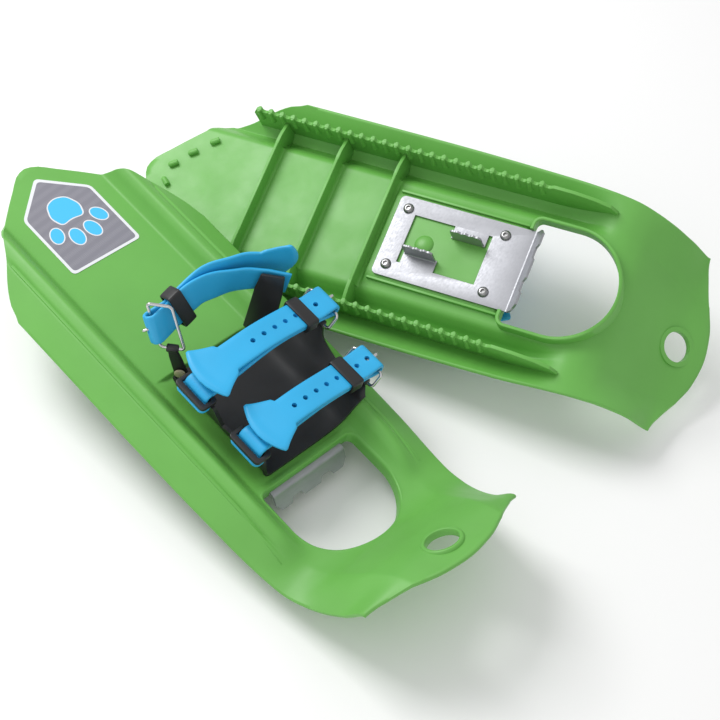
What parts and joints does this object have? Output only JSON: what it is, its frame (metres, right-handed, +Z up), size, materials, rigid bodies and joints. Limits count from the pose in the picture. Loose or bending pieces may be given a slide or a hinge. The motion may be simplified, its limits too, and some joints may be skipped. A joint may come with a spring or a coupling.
{
  "type": "pair of children's snowshoes",
  "caption": "Pair of moulded plastic snowshoes with strap bindings; one lies face up with its tail on the other, which lies face down",
  "frame": {"origin": "centre of the pair on the floor under it", "axes": "+Z up; +Y runs from the tail to the toe of the shoe that lies face up; +X to its wearer's right"},
  "size_m": [0.4273, 0.472, 0.1284],
  "materials": {
    "deck_plastic": "satin moulded plastic",
    "strap_blue": "smooth satin elastomer",
    "cradle_black": "fine matt elastomer",
    "keeper_black": "fine matt elastomer",
    "plate_steel": "pressed sheet",
    "screw_steel": "machined",
    "wire_steel": "polished wire",
    "rivet_beige": "moulded",
    "decal_print": "printed label"
  },
  "bodies": {
    "right_shoe": {"right_deck": "deck_plastic", "right_crampon_plate": "plate_steel", "right_screw_rear_outer": "screw_steel", "right_screw_rear_inner": "screw_steel", "right_screw_front_outer": "screw_steel", "right_screw_front_inner": "screw_steel", "right_binding_base": "cradle_black", "right_side_rivet": "rivet_beige", "right_paw_decal": "decal_print", "right_toe_strap": "strap_blue", "right_instep_strap": "strap_blue", "right_heel_strap": "strap_blue"},
    "right_toe_strap_end": {"right_toe_strap_end": "strap_blue"},
    "right_toe_ring": {"right_toe_ring": "wire_steel"},
    "right_toe_prong": {"right_toe_prong": "wire_steel"},
    "right_toe_keeper": {"right_toe_keeper": "keeper_black"},
    "right_instep_strap_end": {"right_instep_strap_end": "strap_blue"},
    "right_instep_ring": {"right_instep_ring": "wire_steel"},
    "right_instep_prong": {"right_instep_prong": "wire_steel"},
    "right_instep_keeper": {"right_instep_keeper": "keeper_black"},
    "right_heel_strap_end": {"right_heel_strap_end": "strap_blue"},
    "right_heel_ring": {"right_heel_ring": "wire_steel"},
    "right_heel_prong": {"right_heel_prong": "wire_steel"},
    "right_heel_keeper": {"right_heel_keeper": "keeper_black"},
    "left_shoe": {"left_deck": "deck_plastic", "left_crampon_plate": "plate_steel", "left_screw_rear_outer": "screw_steel", "left_screw_rear_inner": "screw_steel", "left_screw_front_outer": "screw_steel", "left_screw_front_inner": "screw_steel", "left_binding_base": "cradle_black", "left_side_rivet": "rivet_beige", "left_paw_decal": "decal_print", "left_toe_strap": "strap_blue", "left_instep_strap": "strap_blue", "left_heel_strap": "strap_blue"},
    "left_toe_strap_end": {"left_toe_strap_end": "strap_blue"},
    "left_toe_ring": {"left_toe_ring": "wire_steel"},
    "left_toe_prong": {"left_toe_prong": "wire_steel"},
    "left_toe_keeper": {"left_toe_keeper": "keeper_black"},
    "left_instep_strap_end": {"left_instep_strap_end": "strap_blue"},
    "left_instep_ring": {"left_instep_ring": "wire_steel"},
    "left_instep_prong": {"left_instep_prong": "wire_steel"},
    "left_instep_keeper": {"left_instep_keeper": "keeper_black"},
    "left_heel_strap_end": {"left_heel_strap_end": "strap_blue"},
    "left_heel_ring": {"left_heel_ring": "wire_steel"},
    "left_heel_prong": {"left_heel_prong": "wire_steel"},
    "left_heel_keeper": {"left_heel_keeper": "keeper_black"}
  },
  "joints": [
    {"name": "left_lift_off", "type": "slide", "parent": "right_shoe", "child": "left_shoe", "axis": [0, 0, 1], "range_m": [0, 0.3]},
    {"name": "right_toe_strap_end_lift", "type": "hinge", "parent": "right_shoe", "child": "right_toe_strap_end", "pos_m": [-0.11748, 0.05123, 0.04661], "axis": [-0.3384, 0.9295, 0.1468], "range_deg": [0, 40]},
    {"name": "right_toe_ring_swing", "type": "hinge", "parent": "right_shoe", "child": "right_toe_ring", "pos_m": [-0.14834, 0.03431, 0.08262], "axis": [0.3384, -0.9295, -0.1468], "range_deg": [-2, 2]},
    {"name": "right_toe_prong_swing", "type": "hinge", "parent": "right_toe_ring", "child": "right_toe_prong", "pos_m": [-0.15899, 0.0312, 0.07776], "axis": [0.3384, -0.9295, -0.1468], "range_deg": [-4, 8]},
    {"name": "right_toe_keeper_slide", "type": "slide", "parent": "right_shoe", "child": "right_toe_keeper", "axis": [0.775, 0.3638, -0.5168], "range_m": [0, 0.018]},
    {"name": "right_instep_strap_end_lift", "type": "hinge", "parent": "right_shoe", "child": "right_instep_strap_end", "pos_m": [-0.10534, 0.00428, 0.02448], "axis": [-0.3384, 0.9295, 0.1468], "range_deg": [0, 40]},
    {"name": "right_instep_ring_swing", "type": "hinge", "parent": "right_shoe", "child": "right_instep_ring", "pos_m": [-0.1374, -0.01369, 0.06432], "axis": [0.3384, -0.9295, -0.1468], "range_deg": [-2, 2]},
    {"name": "right_instep_prong_swing", "type": "hinge", "parent": "right_instep_ring", "child": "right_instep_prong", "pos_m": [-0.14788, -0.01646, 0.0577], "axis": [0.3384, -0.9295, -0.1468], "range_deg": [-4, 8]},
    {"name": "right_instep_keeper_slide", "type": "slide", "parent": "right_shoe", "child": "right_instep_keeper", "axis": [0.7638, 0.3625, -0.534], "range_m": [0, 0.018]},
    {"name": "right_heel_strap_end_lift", "type": "hinge", "parent": "right_shoe", "child": "right_heel_strap_end", "pos_m": [-0.06056, -0.0405, 0.02578], "axis": [-0.2603, 0.8245, 0.5024], "range_deg": [0, 14]},
    {"name": "right_heel_ring_swing", "type": "hinge", "parent": "right_shoe", "child": "right_heel_ring", "pos_m": [-0.03925, -0.01366, 0.02135], "axis": [0.8278, -0.3967, -0.3967], "range_deg": [0, 1.5]},
    {"name": "right_heel_prong_swing", "type": "hinge", "parent": "right_heel_ring", "child": "right_heel_prong", "pos_m": [-0.02999, -0.03075, 0.01026], "axis": [-0.1402, 0.8628, 0.4857], "range_deg": [-4, 6]},
    {"name": "right_heel_keeper_slide", "type": "slide", "parent": "right_shoe", "child": "right_heel_keeper", "axis": [-0.9298, -0.3543, 0.0997], "range_m": [-0.001, 0.0015]},
    {"name": "left_toe_strap_end_lift", "type": "hinge", "parent": "left_shoe", "child": "left_toe_strap_end", "pos_m": [0.10271, 0.06606, 0.0762], "axis": [0, -0.9899, 0.1421], "range_deg": [0, 40]},
    {"name": "left_toe_ring_swing", "type": "hinge", "parent": "left_shoe", "child": "left_toe_ring", "pos_m": [0.05626, 0.06329, 0.05694], "axis": [0, 0.9899, -0.1421], "range_deg": [-2, 2]},
    {"name": "left_toe_prong_swing", "type": "hinge", "parent": "left_toe_ring", "child": "left_toe_prong", "pos_m": [0.04808, 0.06456, 0.06579], "axis": [0, 0.9899, -0.1421], "range_deg": [-4, 8]},
    {"name": "left_toe_keeper_slide", "type": "slide", "parent": "left_shoe", "child": "left_toe_keeper", "axis": [0.9905, 0.0196, 0.1364], "range_m": [0, 0.018]},
    {"name": "left_instep_strap_end_lift", "type": "hinge", "parent": "left_shoe", "child": "left_instep_strap_end", "pos_m": [0.10436, 0.01777, 0.09872], "axis": [0, -0.9899, 0.1421], "range_deg": [0, 40]},
    {"name": "left_instep_ring_swing", "type": "hinge", "parent": "left_shoe", "child": "left_instep_ring", "pos_m": [0.05501, 0.01458, 0.07654], "axis": [0, 0.9899, -0.1421], "range_deg": [-2, 2]},
    {"name": "left_instep_prong_swing", "type": "hinge", "parent": "left_instep_ring", "child": "left_instep_prong", "pos_m": [0.04779, 0.01607, 0.08689], "axis": [0, 0.9899, -0.1421], "range_deg": [-4, 8]},
    {"name": "left_instep_keeper_slide", "type": "slide", "parent": "left_shoe", "child": "left_instep_keeper", "axis": [0.9874, 0.0225, 0.1566], "range_m": [0, 0.018]},
    {"name": "left_heel_strap_end_lift", "type": "hinge", "parent": "left_shoe", "child": "left_heel_strap_end", "pos_m": [0.12636, -0.04455, 0.09924], "axis": [0.2667, -0.3619, 0.8932], "range_deg": [0, 30]},
    {"name": "left_heel_ring_swing", "type": "hinge", "parent": "left_shoe", "child": "left_heel_ring", "pos_m": [0.15458, -0.02486, 0.07973], "axis": [-0.707, 0.6978, -0.1149], "range_deg": [-1.5, 1.5]},
    {"name": "left_heel_prong_swing", "type": "hinge", "parent": "left_heel_ring", "child": "left_heel_prong", "pos_m": [0.1603, -0.03756, 0.0951], "axis": [-0.0172, -0.4259, 0.9046], "range_deg": [-4, 6]},
    {"name": "left_heel_keeper_slide", "type": "slide", "parent": "left_shoe", "child": "left_heel_keeper", "axis": [-0.9638, -0.0976, 0.2482], "range_m": [-0.001, 0.0015]}
  ]
}
